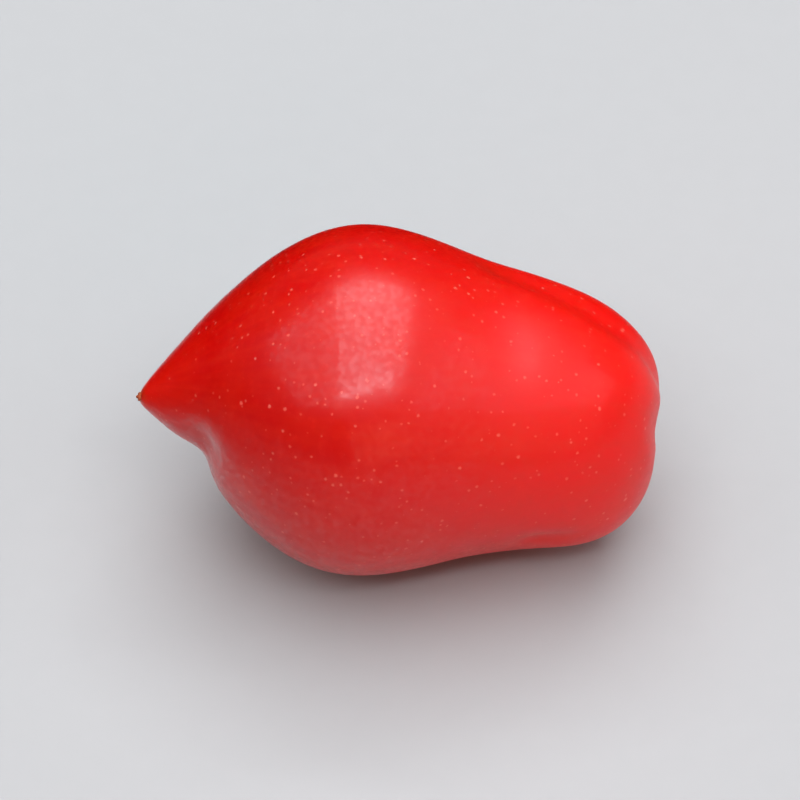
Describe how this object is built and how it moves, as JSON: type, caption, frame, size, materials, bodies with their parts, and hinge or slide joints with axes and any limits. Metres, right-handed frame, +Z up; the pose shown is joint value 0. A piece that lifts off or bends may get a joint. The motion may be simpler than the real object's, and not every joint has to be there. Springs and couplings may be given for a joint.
{
  "type": "grape tomato",
  "caption": "Ripe plum-shaped grape tomato, picked without its stalk and lying on its side, with a pointed blossom tip and a cupped stem end.",
  "frame": {"origin": "middle of the fruit's footprint box, on the surface it lies on", "axes": "+X along the fruit from the blossom tip to the stem end, +Z up, -Y the side with the dent at its waist"},
  "size_m": [0.0346, 0.0234, 0.0234],
  "materials": {
    "ripe_skin": "gloss",
    "corky_scar": "matte"
  },
  "bodies": {
    "root": {"tomato": "ripe_skin"}
  },
  "joints": []
}
